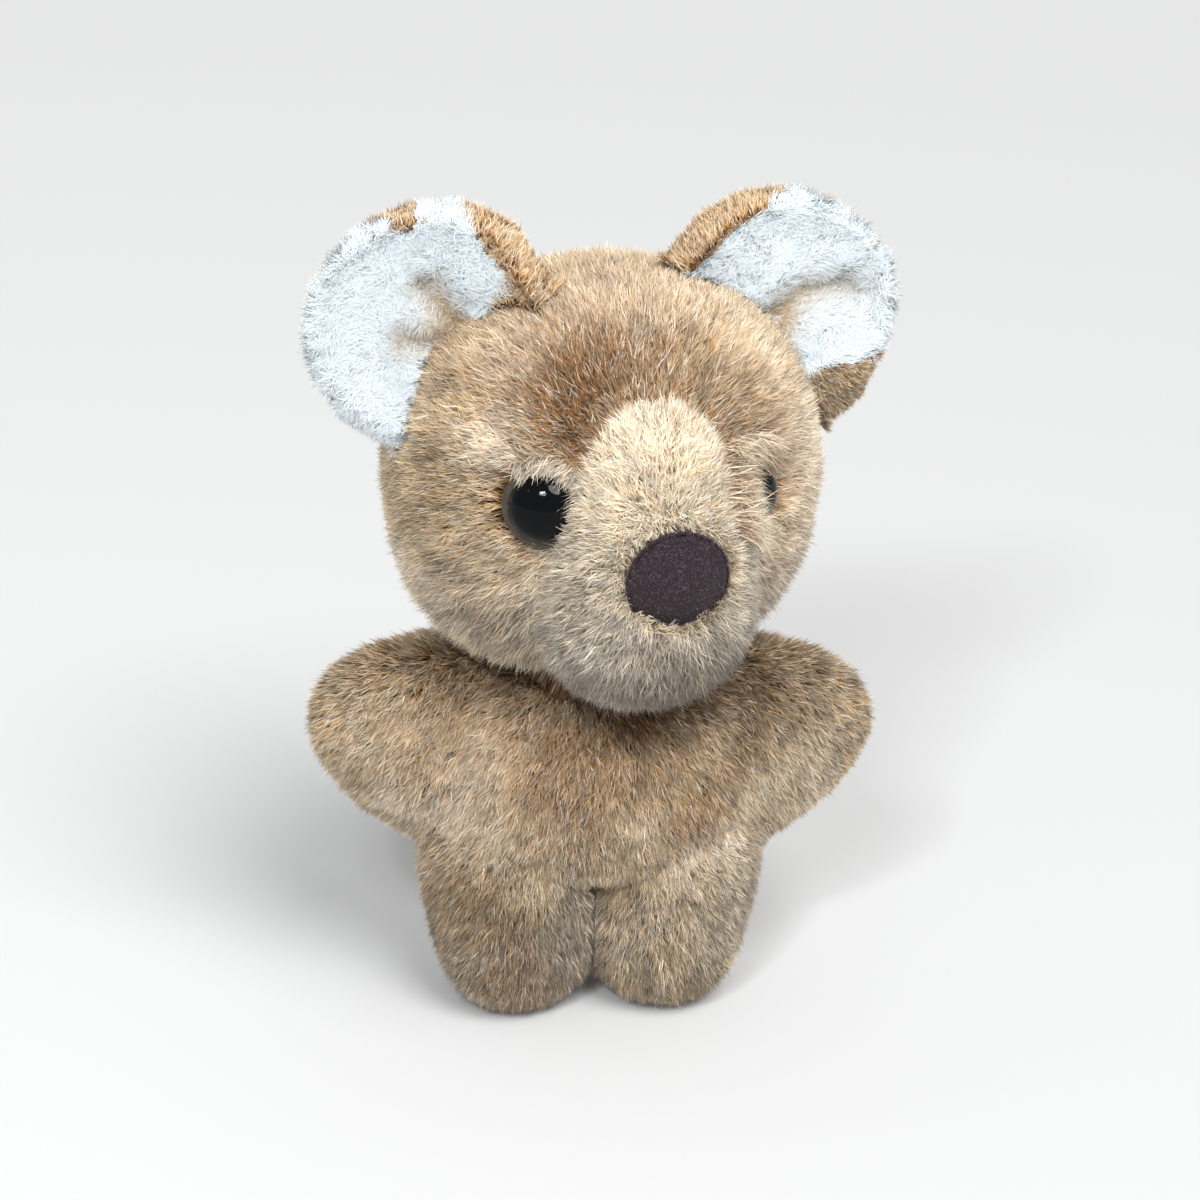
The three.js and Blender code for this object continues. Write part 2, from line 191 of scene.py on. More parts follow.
def acrylic_tinted():
    """Tinted acrylic rim: brown, half see-through, so that it lightens towards its edge."""
    material, tree = start_material("acrylic_tinted")
    place = add(tree, "ShaderNodeTexCoord").outputs["Object"]
    cloud = add(tree, "ShaderNodeTexNoise", {"Vector": place, "Scale": 0.4 / MM}).outputs["Fac"]
    inputs = {
        "Base Color": blend_colours(tree, cloud, linear("#3a3228"), linear("#6e6352")),
        "Roughness": 0.12,
        "IOR": 1.49,
        "Transmission Weight": 0.35,
    }
    end_material(tree, add(tree, "ShaderNodeBsdfPrincipled", inputs).outputs[0])
    return material


def felt(name, dark, light):
    """Pressed felt: matted fibres with a few pale ones that catch the light."""
    material, tree = start_material(name)
    place = add(tree, "ShaderNodeTexCoord").outputs["Object"]
    fibres = add(
        tree, "ShaderNodeTexNoise", {"Vector": place, "Scale": 2.2 / MM, "Detail": 4.0}
    ).outputs["Fac"]
    picked = add(tree, "ShaderNodeMapRange", {"Value": fibres, "From Min": 0.52, "From Max": 0.7})
    bump = add(tree, "ShaderNodeBump", {"Height": fibres, "Strength": 0.6, "Distance": 0.2 * MM})
    inputs = {
        "Base Color": blend_colours(tree, picked.outputs["Result"], linear(dark), linear(light)),
        "Roughness": 0.95,
        "Normal": bump.outputs[0],
        "Sheen Weight": 0.15,
    }
    end_material(tree, add(tree, "ShaderNodeBsdfPrincipled", inputs).outputs[0])
    return material


def nylon():
    """Moulded nylon: cloudy white, a little waxy."""
    material, tree = start_material("nylon_white")
    place = add(tree, "ShaderNodeTexCoord").outputs["Object"]
    cloud = add(tree, "ShaderNodeTexNoise", {"Vector": place, "Scale": 0.3 / MM}).outputs["Fac"]
    inputs = {
        "Base Color": blend_colours(tree, cloud, linear("#dddcd4"), linear("#efefea")),
        "Roughness": 0.4,
    }
    end_material(tree, add(tree, "ShaderNodeBsdfPrincipled", inputs).outputs[0])
    return material


TAN_PILE = pile("polyester_pile_tan", "#624019", "#b78b54", "#ebd8b6", "#98662b", "#efe5d5")
# The cream pile's patch colour is laid on only as painted shade under the chin.
CREAM_PILE = pile("polyester_pile_cream", "#a27b48", "#e9d0a6", "#f8eddb", "#8c5f2a", "#f5eee1")
# The fleece's patch colour is the brownish painted shade in the creases of the ear linings.
FLEECE = pile(
    "acrylic_fleece_white", "#e9f3f7", "#f0f9fd", "#f6fdff", "#c39c5c", "#ffffff", (0.94, 1.04)
)
NOSE_FUZZ = pile("felt_fuzz", "#170b10", "#2a181f", "#5c4650", "#170b10", "#8c7883")
TAN_BACKING = backing("knitted_backing_tan", "#6b4a2a")
CREAM_BACKING = backing("knitted_backing_cream", "#b8946a")
WHITE_BACKING = backing("knitted_backing_white", "#eef0ee")
BLACK = acrylic_black()
TINTED = acrylic_tinted()
FELT = felt("pressed_felt", "#1f1117", "#4d3842")
NYLON = nylon()


# Shapes


def new_object(name, mesh, *materials):
    for material in materials:
        mesh.materials.append(material)
    made = bpy.data.objects.new(name, mesh)
    bpy.context.collection.objects.link(made)
    return made


def corners(mesh):
    """A mesh's vertices as rows."""
    flat = np.zeros(len(mesh.vertices) * 3)
    mesh.vertices.foreach_get("co", flat)
    return flat.reshape(-1, 3)


def outer_form(node, inset):
    """The rounded outer form of a CAD cover, drawn in by the depth of its pile. The legs are
    pressed together, so their inner sides are drawn in less."""
    shape = bmesh.new()
    for corner in corners(frame["nodes"][node].data):
        shape.verts.new(corner)
    bmesh.ops.remove_doubles(shape, verts=shape.verts, dist=0.01 * MM)
    hull = bmesh.ops.convex_hull(shape, input=shape.verts)
    inside = [g for g in hull["geom_interior"] if isinstance(g, bmesh.types.BMVert)]
    bmesh.ops.delete(shape, geom=inside, context="VERTS")
    bmesh.ops.recalc_face_normals(shape, faces=shape.faces)
    for vert, move in [(vert, vert.normal * inset) for vert in shape.verts]:
        if node.startswith("leg") and abs(vert.co.x) < 4 * MM:
            move.x *= -0.3
        vert.co -= move
    return shape


def sheet_form(node, swell):
    """A curved CAD sheet as it is, swollen a little so that it meets the next one."""
    shape = bmesh.new()
    shape.from_mesh(frame["nodes"][node].data)
    bmesh.ops.remove_doubles(shape, verts=shape.verts, dist=0.01 * MM)
    for vert, move in [(vert, vert.normal * swell) for vert in shape.verts]:
        vert.co += move
    return shape


def sew_together(name, shapes, voxel, rounds):
    """Closed forms joined in one smooth skin."""
    whole = bpy.data.meshes.new(name)
    joined = bmesh.new()
    for shape in shapes:
        shape.to_mesh(whole)
        joined.from_mesh(whole)
        shape.free()
    joined.to_mesh(whole)
    joined.free()
    skin = new_object(name, whole)
    skin.modifiers.new("join", "REMESH").voxel_size = voxel
    soften = skin.modifiers.new("soften", "SMOOTH")
    soften.factor = 0.5
    soften.iterations = rounds
    shown = skin.evaluated_get(bpy.context.evaluated_depsgraph_get())
    skin.data = bpy.data.meshes.new_from_object(shown)
    skin.modifiers.clear()
    for face in skin.data.polygons:
        face.use_smooth = True
    return skin


def nearness(points, node):
    """Distance of each point to a CAD node."""
    mesh = frame["nodes"][node].data
    faces = [face.vertices[:] for face in mesh.polygons]
    tree = BVHTree.FromPolygons([vert.co for vert in mesh.vertices], faces)
    return np.array([tree.find_nearest(Vector(point))[3] for point in points])


def vertex_normals(mesh):
    """A mesh's normals as rows."""
    flat = np.zeros(len(mesh.vertices) * 3)
    mesh.vertices.foreach_get("normal", flat)
    return flat.reshape(-1, 3)


def press_seams(skin, nodes, depth):
    """Draws a skin in by a depth in millimetres where two of its covers meet."""
    place = corners(skin.data)
    away = np.sort(np.stack([nearness(place, node) for node in nodes], 1), 1) / MM
    close = np.exp(-((np.maximum(away[:, 0] - 2.5, 0) / 2) ** 2))
    pressed = depth * MM * close * np.exp(-(((away[:, 1] - away[:, 0]) / 1.5) ** 2))
    place = place - vertex_normals(skin.data) * pressed[:, None]
    skin.data.vertices.foreach_set("co", place.ravel())
    skin.data.update()


def dress(piece, body, slot, *nodes):
    """Attaches a piece to the body it rides on and hides the CAD nodes it stands for. The slot, its finish,
    is not used.
    """
    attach(piece, body)
    if nodes:
        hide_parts(*nodes)
    return piece


# Pile


def unit(rows):
    return rows / np.maximum(np.linalg.norm(rows, axis=-1, keepdims=True), 1e-12)


def flatten(ways, normals):
    """Directions laid along the surface."""
    along = ways - np.sum(ways * normals, axis=-1, keepdims=True) * normals
    return unit(along)


def scatter(skin, per_mm2, rng):
    """Tuft roots spread evenly over a skin, with the skin's normals there."""
    mesh = skin.data
    mesh.calc_loop_triangles()
    corner = np.zeros(len(mesh.loop_triangles) * 3, np.int32)
    mesh.loop_triangles.foreach_get("vertices", corner)
    corner = corner.reshape(-1, 3)
    place = corners(mesh)
    facing = vertex_normals(mesh)
    a, b, c = (place[corner[:, side]] for side in range(3))
    area = np.linalg.norm(np.cross(b - a, c - a), axis=1) / 2
    count = int(area.sum() / MM**2 * per_mm2)
    face = rng.choice(len(area), count, p=area / area.sum())
    u, v = rng.random(count), rng.random(count)
    fold = u + v > 1
    u[fold], v[fold] = 1 - u[fold], 1 - v[fold]
    share = np.stack([1 - u - v, u, v], 1)[:, :, None]
    return (place[corner[face]] * share).sum(1), unit((facing[corner[face]] * share).sum(1))


def ripple(points, size, seed):
    """A slow random direction for each point, which turns over about the given size."""
    shift = Vector((seed * 7.3, seed * 3.1, seed * 5.7))
    return np.array([noise.noise_vector(Vector(point) / size + shift) for point in points])


def side_ways(normals):
    """Two directions along the surface, square to each other."""
    helper = np.where(np.abs(normals[:, 2:3]) < 0.9, [[0.0, 0.0, 1.0]], [[1.0, 0.0, 0.0]])
    first = unit(np.cross(helper, normals))
    return first, np.cross(normals, first)


# Some strands are painted pale: on the pile they are painted sheen, on the nose pale fibres.
PALE_FIBRE_AND_SHEEN = 0.17  # share of the strands that shine silvery


class Pile:
    """How one fabric's pile grows. Sizes in metres, leans in degrees from upright."""

    def __init__(self, length, width, lean, per_tuft=5, spread=0.5 * MM, gather=0.35, stray=0.2):
        self.length = length
        self.width = width
        self.lean = lean
        self.per_tuft = per_tuft
        self.spread = spread
        self.gather = gather  # how far the tips of a tuft are drawn together
        self.stray = stray  # how far tufts and strands leave the nap
        self.curl = 1.6 * stray  # how far they turn sideways on the way to the tip, in radians
        self.even = 0.35  # how far they share the skin's own light
        self.steps = 2 if length < 6 * MM else 3  # straight lengths that a strand is made of


def grow(name, points, normals, naps, kind, material, room, **values):
    """One piece of pile: tapered strands in tufts, each bent over along its nap.

    Room is the lowest and the highest corner that a strand may reach, where it is pressed flat.
    Values are one for each tuft: reach lengthens it, lift raises it by so many degrees, and lit
    is the way that it faces the light where that isn't the skin's own."""
    count, each, steps = len(points), kind.per_tuft, kind.steps
    total = count * each
    first, second = side_ways(normals)
    angle = rng.uniform(0, 2 * np.pi, (count, each, 1))
    apart = kind.spread * np.sqrt(rng.random((count, each, 1)))
    around = np.cos(angle) * first[:, None] + np.sin(angle) * second[:, None]
    normal = np.repeat(normals[:, None], each, 1)
    tuft_stray = rng.normal(0, kind.stray, (count, 1, 3))
    strand_stray = rng.normal(0, kind.stray * 0.7, (count, each, 3))
    nap = flatten(naps[:, None] + tuft_stray + strand_stray, normal)
    length = kind.length * values.get("reach", np.ones(count))[:, None, None]
    length = length * (1 + rng.normal(0, 0.1, (count, 1, 1)) + rng.normal(0, 0.12, (count, each, 1)))
    low, high = (math.radians(angle) for angle in kind.lean)
    swing = rng.normal(0, math.radians(6), (count, each, 1))
    swing = swing - np.radians(values.get("lift", np.zeros(count)))[:, None, None]
    curl = rng.normal(0, kind.curl, (count, 1, 1)) + rng.normal(0, kind.curl, (count, each, 1))
    beside = np.cross(normal, nap)
    place = points[:, None] + around * apart - normal * 0.4 * MM
    spine, tangent = [], []
    for step in range(steps + 1):
        share = step / steps
        bend = low + (high - low) * share + swing
        turned = nap * np.cos(curl * share) + beside * np.sin(curl * share)
        way = np.cos(bend) * normal + np.sin(bend) * turned
        spine.append(place - around * apart * kind.gather * share)
        tangent.append(way)
        place = place + way * length / steps
    spine = np.clip(np.stack(spine, 2).reshape(total, steps + 1, 3), *room)
    tangent = np.stack(tangent, 2).reshape(total, steps + 1, 3)
    normal = np.repeat(normal.reshape(total, 1, 3), steps + 1, 1)
    flat = unit(np.cross(tangent, normal))
    roll = rng.uniform(-0.7, 0.7, (total, 1, 1))
    side = flat * np.cos(roll) + np.cross(tangent, flat) * np.sin(roll)
    taper = np.interp(np.arange(steps + 1) / steps, [0, 0.4, 1], [0.8, 1.0, 0.0])
    half = side * taper[None, :, None] * kind.width / 2
    edges = np.stack([spine - half, spine + half], 2)[:, :steps].reshape(total, 2 * steps, 3)
    rows = np.concatenate([edges, spine[:, steps:]], 1)
    lit = np.repeat(values.get("lit", normals), each, 0)[:, None] * kind.even
    facing = np.cross(side, tangent) + lit + 0.4 * rng.normal(0, 1, (total, 1, 3))
    facing = unit(facing)
    facing = np.concatenate([np.repeat(facing[:, :steps], 2, 1), facing[:, steps:]], 1)
    return strand_mesh(name, rows, facing, values, kind, material)


def strand_mesh(name, rows, facing, values, kind, material):
    """The mesh of many strands: quads up each strand and a triangle at its tip."""
    steps, each = kind.steps, kind.per_tuft
    along = np.append(np.repeat(np.arange(steps) / steps, 2), 1.0)
    total, per = rows.shape[:2]
    start = np.arange(total)[:, None] * per
    ladder = [[2 * s, 2 * s + 1, 2 * s + 3, 2 * s + 2] for s in range(steps - 1)]
    ladder.append([2 * steps - 2, 2 * steps - 1, 2 * steps])
    loops = np.concatenate([start + np.array(face) for face in ladder], 1).ravel()
    sizes = np.tile([len(face) for face in ladder], total)
    mesh = bpy.data.meshes.new(name)
    mesh.vertices.add(total * per)
    mesh.vertices.foreach_set("co", rows.astype(np.float32).ravel())
    mesh.loops.add(len(loops))
    mesh.loops.foreach_set("vertex_index", loops.astype(np.int32))
    mesh.polygons.add(len(sizes))
    mesh.polygons.foreach_set("loop_start", np.append(0, np.cumsum(sizes)[:-1]).astype(np.int32))
    mesh.update(calc_edges=True)
    mesh.polygons.foreach_set("use_smooth", np.ones(len(sizes), bool))
    tufts = total // each
    tone = 0.5 + rng.normal(0, 0.19, tufts) + values.get("shade", np.zeros(tufts))
    tone = np.clip(np.repeat(tone, each) + rng.normal(0, 0.2, total), 0, 1)
    keep = {"along": np.tile(along, total), "tone": np.repeat(tone, per)}
    keep["patch"] = np.repeat(values.get("patch", np.zeros(tufts)), each * per)
    # A random share of strands is painted pale (painted sheen on the pile), on top of the brow values.
    silvery = 0.7 * (rng.random(total) < PALE_FIBRE_AND_SHEEN) + np.repeat(values.get("brow", np.zeros(tufts)), each)
    keep["brow"] = np.repeat(np.clip(silvery, 0, 1), per)
    for key, numbers in keep.items():
        attribute = mesh.attributes.new(key, "FLOAT", "POINT")
        attribute.data.foreach_set("value", numbers.astype(np.float32))
    lay_out(mesh, loops, along, total, per, steps)
    mesh.normals_split_custom_set_from_vertices(facing.reshape(-1, 3))
    return new_object(name, mesh, material)


def lay_out(mesh, loops, along, total, per, steps):
    """A UV map with a small cell for each strand."""
    cells = math.ceil(math.sqrt(total))
    strand = loops // per
    point = loops % per
    across = np.where(point == 2 * steps, 0.5, np.where(point % 2 == 0, 0.1, 0.9))
    u = (strand % cells + across) / cells
    v = (strand // cells + 0.08 + 0.84 * along[point]) / cells
    chart = mesh.uv_layers.new(name="OFBake")
    chart.data.foreach_set("uv", np.stack([u, v], 1).astype(np.float32).ravel())


# Skins


TORSO_NODES = ["torso_cover", "arm_left_cover", "arm_right_cover", "leg_left_cover"]
TORSO_NODES += ["leg_right_cover"]
PILE_DEPTH = 2.2 * MM  # from the outside of the pile down to the backing
SKIN_VOXEL = 1.4 * MM

body_skin = sew_together(
    "body_skin", [outer_form(node, PILE_DEPTH) for node in TORSO_NODES], SKIN_VOXEL, 26
)
press_seams(body_skin, TORSO_NODES, 0.4)
press_seams(body_skin, TORSO_NODES[3:], 2.6)
body_skin.data.materials.append(TAN_BACKING)
dress(body_skin, "torso", "tan_pile", *TORSO_NODES, "body_stuffing")

head_skin = sew_together(
    "head_skin",
    [outer_form("head_cover", PILE_DEPTH), outer_form("muzzle_cover", PILE_DEPTH)],
    SKIN_VOXEL,
    10,
)
head_skin.data.materials.append(TAN_BACKING)
head_skin.data.materials.append(CREAM_BACKING)
middles = np.array([face.center[:] for face in head_skin.data.polygons])
pale = nearness(middles, "muzzle_cover") < nearness(middles, "head_cover")
head_skin.data.polygons.foreach_set("material_index", pale.astype(np.int32))
dress(head_skin, "head", "tan_pile", "head_cover", "muzzle_cover", "head_stuffing")

neck_skin = sew_together("neck_skin", [outer_form("neck_stuffing", 0.5 * MM)], SKIN_VOXEL, 4)
neck_skin.data.materials.append(TAN_BACKING)
dress(neck_skin, "neck", "stuffing", "neck_stuffing")


# Where things are on the head

NECK = np.array(JOINTS["head_nod"]["pos_m"], float)
HEAD_ACROSS = unit(np.array(JOINTS["head_nod"]["axis"], float))
HEAD_FRONT = unit(np.cross(HEAD_ACROSS, UP))
HEAD_MIDDLE = NECK + UP * (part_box("head_cover")[1][2] - NECK[2] - 43 * MM)


def on_head(points):
    """Across, forwards and up from the middle of the head, in millimetres."""
    return (points - HEAD_MIDDLE) @ np.stack([HEAD_ACROSS, HEAD_FRONT, UP], 1) / MM


def spot(place, middle, size):
    """1 at the middle of a soft oval spot and 0 well outside it. The last axis is summed."""
    return np.exp(-np.sum(((place - np.array(middle)) / np.array(size)) ** 2, -1))


def round_frame(node, outwards):
    """The middle of a round CAD node's foot and its axis, which points outwards."""
    place = corners(frame["nodes"][node].data)
    middle = place.mean(0)
    axis = np.linalg.svd(place - middle, full_matrices=False)[2][2]
    if axis @ outwards < 0:
        axis = -axis
    rise = (place - middle) @ axis
    radius = np.linalg.norm(place - middle - rise[:, None] * axis, axis=1).max()
    return middle + axis * rise.min(), axis, radius


eyes = {}
for side in ("left", "right"):
    ring = f"eye_{side}_iris_ring"
    toward = np.array((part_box(ring)[0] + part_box(ring)[1]) / 2) - HEAD_MIDDLE
    eyes[side] = round_frame(ring, toward)
NOSE = round_frame("nose_patch", HEAD_FRONT)
EYE_SEEN = eyes["right"][0]


# Eyes and nose


def turn_on_lathe(name, outline, at, axis, material, sides=96):
    """A turned piece: outline is [radius, height] in millimetres from foot to top."""
    spin = Vector((0, 0, 1)).rotation_difference(Vector(axis)).to_matrix().to_4x4()
    place = Matrix.Translation(Vector(at)) @ spin
    shape = bmesh.new()
    rings = []
    for radius, height in outline:
        if radius < 1e-6:
            rings.append([shape.verts.new(place @ Vector((0, 0, height * MM)))])
            continue
        ring = []
        for side in range(sides):
            angle = 2 * math.pi * side / sides
            flat = (radius * math.cos(angle) * MM, radius * math.sin(angle) * MM)
            ring.append(shape.verts.new(place @ Vector((*flat, height * MM))))
        rings.append(ring)
    pairs = list(zip(rings, rings[1:]))
    if len(rings[0]) > 1:
        pairs.append((rings[-1], rings[0]))
    for lower, upper in pairs:
        for side in range(sides):
            after = (side + 1) % sides
            low = [lower[side], lower[after]] if len(lower) > 1 else lower
            high = [upper[after], upper[side]] if len(upper) > 1 else upper
            shape.faces.new(low + high)
    bmesh.ops.recalc_face_normals(shape, faces=shape.faces)
    mesh = bpy.data.meshes.new(name)
    shape.to_mesh(mesh)
    shape.free()
    for face in mesh.polygons:
        face.use_smooth = True
    return new_object(name, mesh, material)


def quarter(radius, low, rise, steps):
    """A quarter round from an edge up to a top, as [radius, height]."""
    angles = [math.pi / 2 * step / steps for step in range(steps + 1)]
    return [(radius * math.cos(a), low + rise * math.sin(a)) for a in angles[:-1]] + [(0, low + rise)]


for side, (at, axis, radius) in eyes.items():
    rim = 0.7
    edge = radius / MM - rim
    swell = [math.pi * (step / 12 - 0.5) for step in range(13)]
    outline = [(2.4, 0)] + [(edge + rim * math.cos(a), rim + rim * math.sin(a)) for a in swell]
    ring = turn_on_lathe(f"eye_{side}_rim", outline + [(2.4, 2 * rim)], at, axis, TINTED)
    dress(ring, "head", "eye_rim", f"eye_{side}_iris_ring")
    shank = [(0, -11.6)]
    for rib in range(6):
        low = -11.6 + 1.5 * rib
        shank += [(1.75, low), (2.1, low + 0.75), (1.75, low + 0.9)]
    shank += [(1.75, -1.6), (2.1, 0), (2.1, 1.7), (6.4, 1.7)]
    dome = turn_on_lathe(
        f"eye_{side}_dome", shank + quarter(6.7, 1.8, 4.1, 20), at, axis, BLACK
    )
    dress(dome, "head", "eye_black", f"eye_{side}_pupil_and_shank")
    frame["nodes"][f"eye_{side}_lock_washer"].data.materials.clear()
    frame["nodes"][f"eye_{side}_lock_washer"].data.materials.append(NYLON)

# The felt nose has a soft rim and a low dome.
felt_edge = [(10 - 0.6 + 0.6 * math.sin(a), 1.4 + 0.6 * (1 - math.cos(a))) for a in (1.5, 1.0, 0.5)]
felt_dome = [(9.4 * (1 - s / 16), 2.0 + 1.6 * (1 - (1 - s / 16) ** 2)) for s in range(16)]
nose = turn_on_lathe(
    "nose_felt",
    [(0, 0), (9.6, 0), (10, 0.5)] + felt_edge + felt_dome + [(0, 3.6)],
    NOSE[0],
    NOSE[1],
    FELT,
)
dress(nose, "head", "nose_felt", "nose_patch", "nose_pad")


# Ears


EAR_RADIUS = 24.6  # millimetres


class Ear:
    """One ear's own directions: out from the head, across it and behind it."""

    def __init__(self, side):
        flex = JOINTS[f"ear_{side}_flex"]
        self.across = unit(np.array(flex["axis"], float))
        self.foot = np.array(flex["pos_m"], float)
        low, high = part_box(f"ear_{side}_back")
        reach = np.array((low + high) / 2) - self.foot
        self.out = unit(reach - (reach @ self.across) * self.across)
        self.behind = np.cross(self.out, self.across)
        self.rise = self.local(corners(frame["nodes"][f"ear_{side}_back"].data))[:, 2].max()

    def local(self, points):
        """Across, behind and out, in millimetres from the foot of the ear."""
        axes = np.stack([self.across, self.behind, self.out], 1)
        return (points - self.foot) @ axes / MM

    def uneven(self, points, bulges):
        """How far points on the ear are pulled out of the round by [degrees, mm, spread]."""
        flat = self.local(points)[:, ::2] - [0, self.rise - EAR_RADIUS]
        away = np.linalg.norm(flat, axis=1)
        angle = np.degrees(np.arctan2(flat[:, 1], flat[:, 0]))
        pull = np.zeros(len(points))
        for at, far, spread in bulges:
            apart = (angle - at + 180) % 360 - 180
            pull += far * np.exp(-((apart / spread) ** 2))
        pull = pull * (away / EAR_RADIUS) ** 2 / np.maximum(away, 1)
        return (flat * pull[:, None] * MM) @ np.stack([self.across, self.out])


ANYWHERE = (np.array([-1.0, -1.0, 0.2 * MM]), np.array([1.0, 1.0, 1.0]))


def plant(name, body, slot, sown, naps, kind, material, room=ANYWHERE, **values):
    """Grows one piece of pile on sown roots (points, normals) and dresses its body in it."""
    points, normals = sown
    piece = grow(name, points, normals, flatten(naps, normals), kind, material, room, **values)
    return dress(piece, body, slot)


def pick(chosen, *rows):
    """The chosen rows of several arrays."""
    return [row[chosen] for row in rows]


def from_path(place, path):
    """Distance of points on a plane from a bent line, in the units of both."""
    apart = []
    for start, end in zip(path, path[1:]):
        start, way = np.array(start, float), np.subtract(end, start).astype(float)
        share = np.clip((place - start) @ way / (way @ way), 0, 1)
        apart.append(np.linalg.norm(place - start - share[:, None] * way, axis=1))
    return np.min(apart, 0)


# Creases of each lining, where it is gathered into the seam: [across, out] in millimetres.
CREASES = {
    "left": [[(5.8, -3), (2.2, 4), (2.6, 9), (5.5, 14), (9, 17)]],
    "right": [[(2.8, -2), (4.2, 4), (5.3, 9.6)], [(2.8, -2), (-0.5, 2.5), (-3.7, 5.5)]],
}


def shows_tan(side, place):
    """Where the tan back of an ear comes round to the front."""
    across, out = place[:, 0], place[:, 2]
    if side == "left":
        top = across < -19.5 + 0.25 * np.maximum(out - 10, 0)
        return top | (across > 11 + 0.62 * (out + 4))
    upper = across > np.interp(out, [-4, -2.7, 1.3, 13.2, 18], [4, 5.1, 16.9, 21, 23])
    notch = np.hypot(across - 13.5, out - 24.5) < 3.2
    rim = (across < -15) & (np.hypot(across, out - 4) > 24.5)
    return upper | notch | rim


# Where an ear is sewn out of the round: [degrees from across, millimetres, spread in degrees].
BULGES = {
    "left": [(-18, 4.5, 30), (180, 2.0, 35), (65, 1.2, 25)],
    "right": [(5, 3.0, 30), (105, -1.6, 55)],
}


def make_ear(side):
    ear, body = Ear(side), "ear_" + side
    back, lining = body + "_back", body + "_lining"
    sheets = [sheet_form(back, 0.2 * MM), sheet_form(lining, 0.2 * MM)]
    skin = sew_together(body + "_skin", sheets, 0.9 * MM, 4)
    place, facing = corners(skin.data), vertex_normals(skin.data)
    flat = ear.local(place)[:, ::2]
    apart = np.min([from_path(flat, path) for path in CREASES[side]], 0)
    from_rim = EAR_RADIUS - np.linalg.norm(flat - [0, ear.rise - EAR_RADIUS], axis=1)
    creased = np.exp(-((apart / 3.6) ** 2)) * np.clip(from_rim / 7, 0, 1)
    creased *= np.where(facing @ ear.behind < 0, 1, 0.4)  # the back stays nearly smooth
    sunk = np.clip(1 - nearness(place, "head_cover") / (8 * MM), 0, 1)
    place = place - facing * 1.4 * MM + ear.behind * creased[:, None] * 3.0 * MM
    place += ear.uneven(place, BULGES[side]) - ear.out * sunk[:, None] * 6.5 * MM
    skin.data.vertices.foreach_set("co", place.ravel())
    skin.data.update()
    skin.data.materials.append(WHITE_BACKING)
    skin.data.materials.append(TAN_BACKING)
    middles = np.array([face.center[:] for face in skin.data.polygons])
    behind = np.array([face.normal[:] for face in skin.data.polygons]) @ ear.behind
    under = np.array([face.normal[:] for face in skin.data.polygons]) @ ear.out < -0.2
    tan = (behind > 0.6) | (under & (behind > 0)) | shows_tan(side, ear.local(middles))
    skin.data.polygons.foreach_set("material_index", tan.astype(np.int32))
    dress(skin, body, "tan_pile", back, lining)

    points, normals = scatter(skin, 4.2, rng)
    local = ear.local(points)
    bare = (normals @ ear.out < -0.3) & (local[:, 2] < 0)
    points, normals, local = pick(~bare, points, normals, local)
    white = (normals @ ear.behind < 0.72) & ~shows_tan(side, local)
    outwards = unit(ear.out * np.maximum(local[:, 2:], 6) + ear.across * local[:, :1])

    sown, place = pick(white, points, normals), local[white]
    apart = np.min([from_path(place[:, ::2], path) for path in CREASES[side]], 0)
    depth = np.clip(1 - place[:, 2] / 26, 0.3, 1)
    # The creases are painted brownish and darker, most towards the foot: painted shade.
    crease_shade = np.exp(-((apart / 3.2) ** 2)) * depth
    naps = outwards[white] * 0.7 + 1.3 * ripple(sown[0], 5 * MM, 3)
    plant(
        body + "_fleece", body, "white_fleece", sown, naps, CURLS, FLEECE,
        patch=np.clip(crease_shade, 0, 0.9),
        shade=0.2 * ripple(sown[0], 6 * MM, 8)[:, 0] - 0.15 * crease_shade,
        reach=1 - 0.4 * np.exp(-((apart / 2) ** 2)),
        lit=unit(sown[1] - 0.9 * ear.behind + {"left": 1.0, "right": 0.4}[side] * UP),
    )

    sown = pick(~white, points, normals)
    naps = outwards[~white] + 0.4 * ripple(sown[0], 9 * MM, 4)
    shade = 0.2 * ripple(sown[0], 12 * MM, 9)[:, 0] + 0.25
    if side == "left":  # the tan that comes round to the front low down hangs in the shade
        low = np.clip((local[~white, 0] - 6) / 6, 0, 1)
        shade -= 0.4 * low * np.clip(1 - 2 * (sown[1] @ ear.behind), 0, 1)
    plant(body + "_pile", body, "tan_pile", sown, naps, EAR_NAP, TAN_PILE, shade=shade)


BODY_NAP = Pile(4.3 * MM, 0.26 * MM, (38, 74), gather=0.5, stray=0.25)
FACE_NAP = Pile(4.8 * MM, 0.26 * MM, (38, 75), gather=0.55, stray=0.27)
MUZZLE_NAP = Pile(4.6 * MM, 0.25 * MM, (32, 71), gather=0.4, stray=0.36)
MUZZLE_NAP.even = 0.6
EAR_NAP = Pile(2.8 * MM, 0.22 * MM, (50, 82), gather=0.45)
CURLS = Pile(3.2 * MM, 0.17 * MM, (52, 86), gather=0.2, stray=0.4)
CURLS.even = 3.0
NECK_NAP = Pile(5.0 * MM, 0.24 * MM, (15, 50))
NOSE_EDGE = Pile(4.2 * MM, 0.22 * MM, (14, 62), gather=0.2, stray=0.35)
BROW = Pile(6.4 * MM, 0.22 * MM, (20, 78), gather=0.5)
HOLLOW = Pile(9.5 * MM, 0.24 * MM, (4, 84), gather=0.3, stray=0.32)
FUZZ = Pile(0.8 * MM, 0.1 * MM, (30, 80), per_tuft=6, spread=0.4 * MM, gather=0.2, stray=1.0)

rng = np.random.default_rng(4)
for side in ("left", "right"):
    make_ear(side)


# Pile of the body

points, normals = scatter(body_skin, 2.9, rng)
hidden =(np.linalg.norm((points - NECK)[:, :2], axis=1) < 19 * MM) & (points[:, 2] > 79 * MM)
points, normals = pick(~hidden, points, normals)
owner = np.stack([nearness(points, node) for node in TORSO_NODES], 1).argmin(1)
outward = points * np.array([1.0, 0.35, 0.0]) / (40 * MM)
naps = 0.75 * outward - UP + 0.3 * ripple(points, 16 * MM, 1)
